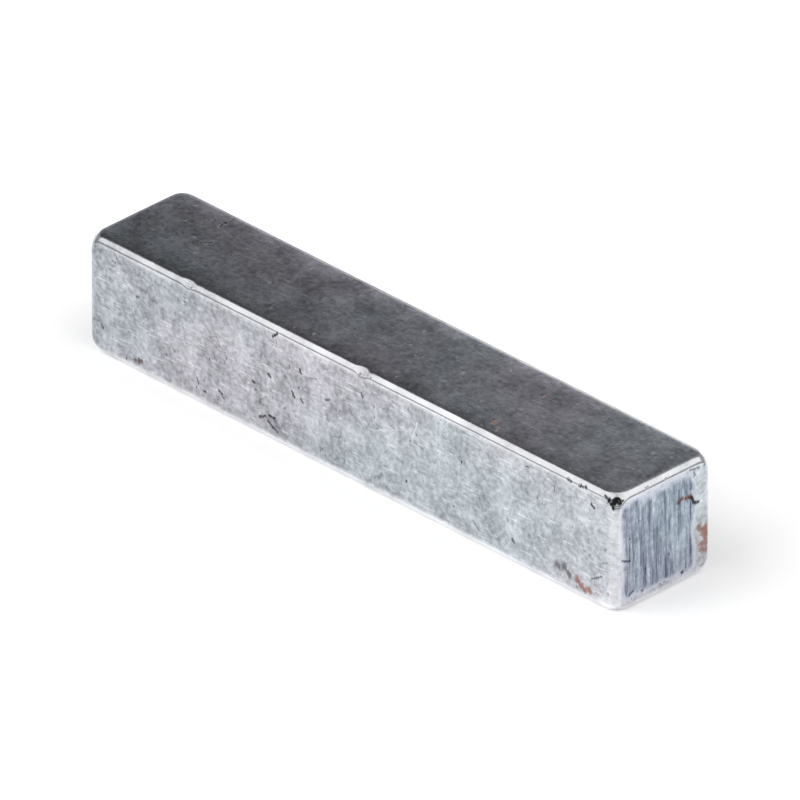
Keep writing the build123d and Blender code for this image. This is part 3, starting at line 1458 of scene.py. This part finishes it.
def seen_marks() -> list[Mark]:
    """List the marks that stand out one by one: pits, nicks, rust and scratches.

    Returns:
        The marks.
    """
    top, front, end = (partial(Mark, face) for face in (Face.TOP, Face.FRONT, Face.SAWN_END))
    return [
        # Top: two pits and a faint stain at the far end, rust near the front edge
        top(24.85, 3.95, 0.13, 0.02, 1.0, run=(0.0, 0.25)),
        top(24.85, 4.25, 0.10, 0.02, 0.9, run=(-0.05, 0.25)),
        top(24.25, 2.6, 0.11, 0.02, 1.0, run=(-0.05, 0.15)),
        top(26.4, 1.8, 0.35, 0.0, 0.05, 0.25),
        top(22.4, 1.35, 0.05, 0.0, 0.0, shine=1.0),
        top(24.3, 1.55, 0.035, 0.0, 0.0, shine=0.6),
        top(25.6, 0.65, 0.035, 0.0, 0.0, shine=0.6),
        top(7.2, 0.82, 0.13, 0.02, 0.6, 0.9),
        top(6.9, 0.65, 0.11, 0.0, 0.0, 0.5, run=(-0.15, -0.1)),
        top(8.1, 1.1, 0.05, 0.0, 0.0, shine=0.9),
        top(12.2, 2.9, 0.045, 0.0, 0.0, shine=0.7, run=(0.2, 0.0)),
        top(2.4, 4.2, 0.09, 0.0, 0.0, shine=0.8),
        # Front, the pitted stretch towards the far end
        front(17.85, 0.25, 0.08, 0.02, 0.95, run=(0.2, 0.2)),
        front(17.9, 0.58, 0.05, 0.01, 0.55, run=(0.0, 0.25)),
        front(16.65, 1.3, 0.075, 0.03, 0.95, run=(-0.06, 0.12)),
        front(18.35, 2.15, 0.06, 0.03, 0.85, run=(-0.15, 0.1)),
        front(19.15, 2.8, 0.07, 0.03, 0.8, run=(-0.1, 0.03)),
        front(19.05, 3.1, 0.05, 0.02, 0.6, run=(-0.1, 0.0)),
        front(18.75, 3.45, 0.06, 0.02, 0.6, run=(0.0, 0.1)),
        front(17.05, 2.4, 0.07, 0.03, 0.9, run=(-0.08, 0.17)),
        front(16.7, 2.1, 0.06, 0.03, 0.8),
        front(16.6, 2.55, 0.055, 0.02, 0.65, run=(-0.12, 0.12)),
        front(17.2, 1.3, 0.05, 0.02, 0.55, run=(0.0, 0.15)),
        front(16.15, 1.45, 0.04, 0.01, 0.45, run=(-0.4, -0.12)),
        front(20.95, 3.95, 0.08, 0.04, 0.95, run=(-0.17, 0.12)),
        front(20.8, 4.1, 0.05, 0.02, 0.65, run=(-0.12, 0.12)),
        front(22.15, 3.9, 0.06, 0.03, 0.75, run=(-0.1, 0.2)),
        front(22.15, 4.3, 0.06, 0.03, 0.75),
        front(21.8, 4.3, 0.06, 0.03, 0.7, run=(-0.15, 0.03)),
        front(18.8, 4.2, 0.06, 0.03, 0.8, run=(-0.3, -0.15)),
        front(18.3, 3.95, 0.07, 0.04, 0.9, run=(-0.3, 0.0)),
        front(18.35, 4.2, 0.055, 0.04, 0.9, run=(-0.5, 0.3)),
        front(21.5, 1.9, 0.04, 0.01, 0.45, run=(-0.4, -0.2)),
        front(21.1, 1.7, 0.04, 0.01, 0.45, run=(-0.25, 0.35)),
        front(21.45, 2.8, 0.06, 0.02, 0.55),
        front(20.55, 2.4, 0.06, 0.02, 0.55),
        front(19.45, 1.25, 0.2, 0.0, 0.25),
        front(27.25, 3.65, 0.06, 0.03, 0.7, run=(-0.1, 0.12)),
        front(26.65, 0.7, 0.06, 0.02, 0.5, run=(-0.15, 0.0)),
        front(25.35, 1.7, 0.06, 0.02, 0.65, run=(-0.12, 0.0)),
        front(25.4, 4.5, 0.13, 0.03, 0.75, 0.4, run=(-0.3, -0.08)),
        front(23.75, 3.55, 0.06, 0.02, 0.55),
        # Front, the middle stretch, with its light scratches
        front(13.4, 0.95, 0.06, 0.02, 0.7, run=(-0.1, 0.15)),
        front(15.3, 2.05, 0.06, 0.02, 0.65, run=(-0.2, -0.1)),
        front(12.0, 1.05, 0.2, 0.0, 0.35),
        front(11.25, 1.0, 0.05, 0.01, 0.5),
        front(11.0, 3.75, 0.07, 0.03, 0.85),
        front(14.3, 4.25, 0.07, 0.02, 0.5),
        front(15.45, 4.2, 0.07, 0.02, 0.55),
        front(16.2, 4.05, 0.15, 0.01, 0.35, 0.45),
        front(10.3, 1.95, 0.05, 0.01, 0.5, run=(-0.2, 0.15)),
        front(13.05, 4.6, 0.12, 0.01, 0.45, run=(-0.25, -0.3)),
        front(12.8, 4.3, 0.12, 0.01, 0.45, run=(-0.5, -0.2)),
        front(10.45, 1.05, 0.05, 0.006, 0.0, shine=1.0, run=(0.25, 0.75)),
        front(12.75, 2.3, 0.035, 0.004, 0.0, shine=0.7, run=(-1.65, -0.7)),
        front(10.1, 3.1, 0.05, 0.004, 0.0, shine=0.6, run=(-0.07, 0.35)),
        front(13.65, 2.1, 0.04, 0.004, 0.0, shine=0.5, run=(-0.45, -0.3)),
        front(14.35, 3.5, 0.05, 0.004, 0.0, shine=0.6, run=(-0.4, -0.2)),
        # Front, towards the sawn end
        front(8.1, 1.75, 0.07, 0.03, 0.85),
        front(4.75, 0.53, 0.05, 0.02, 0.65, run=(-0.14, 0.0)),
        front(3.25, 0.75, 0.05, 0.02, 0.55, run=(0.0, 0.2)),
        front(1.35, 0.75, 0.055, 0.03, 0.95, run=(-0.2, 0.08)),
        front(7.5, 4.05, 0.06, 0.02, 0.55, run=(-0.35, 0.25)),
        front(5.45, 3.95, 0.07, 0.03, 0.8, run=(-0.1, 0.08)),
        front(3.1, 4.0, 0.18, 0.01, 0.6, run=(-0.35, 0.0)),
        front(2.75, 4.0, 0.2, 0.02, 0.65, run=(-0.35, 0.15)),
        front(2.1, 4.25, 0.15, 0.02, 0.3, 1.0, run=(-0.35, 0.2)),
        front(1.7, 4.5, 0.15, 0.02, 0.3, 1.0, run=(-0.3, 0.0)),
        front(1.3, 3.9, 0.05, 0.02, 0.65, run=(-0.55, -0.3)),
        front(0.8, 3.05, 0.035, 0.01, 0.55, run=(-0.35, -0.15)),
        front(0.6, 2.4, 0.05, 0.02, 0.55),
        front(0.45, 4.2, 0.06, 0.02, 0.65),
        # Nicks along the front top edge and round the chipped corner
        front(22.6, 0.12, 0.07, 0.0, 0.7, run=(-0.12, 0.0)),
        front(13.5, 0.12, 0.09, 0.01, 0.7),
        front(12.95, 0.15, 0.07, 0.01, 0.7),
        front(2.6, 0.2, 0.07, 0.01, 0.95, run=(-0.2, 0.0)),
        front(2.0, 0.2, 0.08, 0.01, 0.95, run=(-0.35, 0.0)),
        front(0.42, 0.2, 0.13, 0.0, 1.3),
        front(0.35, 0.3, 0.10, 0.0, 1.3, run=(-0.12, 0.16)),
        front(0.68, 0.1, 0.09, 0.01, 1.2, run=(-0.25, 0.08)),
        end(0.2, 0.14, 0.06, 0.01, 1.1, run=(0.15, 0.0)),
        end(1.55, 0.1, 0.055, 0.01, 0.85, run=(0.15, 0.0)),
        end(2.6, 0.1, 0.05, 0.01, 0.7, run=(0.15, 0.0)),
        # Sawn end: a hooked mark, rust down its back edge, spots and strokes
        end(3.2, 1.45, 0.08, 0.02, 0.7, 0.6, run=(0.2, -0.1)),
        end(3.6, 1.4, 0.09, 0.02, 0.8, 0.6, run=(0.27, 0.06)),
        end(3.9, 1.5, 0.07, 0.02, 0.95, 0.2, run=(0.15, 0.27)),
        end(4.05, 1.8, 0.065, 0.02, 0.9, run=(0.18, 0.05)),
        end(4.3, 2.95, 0.12, 0.01, 0.2, 0.9, run=(0.3, 0.25)),
        end(4.65, 3.15, 0.16, 0.01, 0.2, 1.0, run=(0.1, 0.5)),
        end(4.65, 3.65, 0.14, 0.01, 0.2, 0.9, run=(-0.3, 0.0)),
        end(4.45, 3.9, 0.12, 0.01, 0.2, 0.8, run=(0.25, 0.13)),
        end(3.85, 0.3, 0.07, 0.01, 0.6, run=(0.45, 0.1)),
        end(4.05, 0.4, 0.06, 0.01, 0.6, run=(0.0, 0.25)),
        end(4.25, 0.6, 0.09, 0.0, 0.0, shine=0.9),
        end(3.45, 4.5, 0.09, 0.02, 0.8),
        end(0.3, 2.75, 0.05, 0.01, 0.7, run=(0.4, 0.15)),
        end(0.65, 4.35, 0.06, 0.01, 0.65, run=(0.2, -0.08)),
        end(1.0, 2.15, 0.16, 0.0, 0.35),
    ]


def main() -> None:
    """Build the key and the studio, and report each piece."""
    logging.basicConfig(level=logging.INFO, format="%(name)s: %(message)s")
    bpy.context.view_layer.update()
    low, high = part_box(NODE)
    size = (high - low) / MM
    bar = KeyBar(size.x, size.y, size.z, marks=seen_marks())
    grain, wear = GrainGroup(), WearGroup()
    drawn, sawn = DRAWN.material(grain, wear), SAWN.material(grain, wear)
    cloud, flats = bar.spot_cloud(), bar.flats()
    run_geometry_nodes(cloud, PitScatter().group(drawn), Flats=flats)
    log.info("marks: %d spots", len(cloud.data.vertices))
    key = bar.build("worn_key", cloud.data)
    run_geometry_nodes(key, MarkStamp().group(drawn), Marks=cloud)
    run_geometry_nodes(key, SawLines().group(drawn, sawn), Seed=3.0)
    bpy.data.objects.remove(cloud)
    bpy.data.objects.remove(flats)
    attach(key, "root")
    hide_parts(NODE)
    log.info("worn_key: %d triangles", len(key.data.polygons))
    Studio((low + high) / 2).build()
    log.info("studio: floor, cards, lamps and camera")


if __name__ == "__main__":
    main()
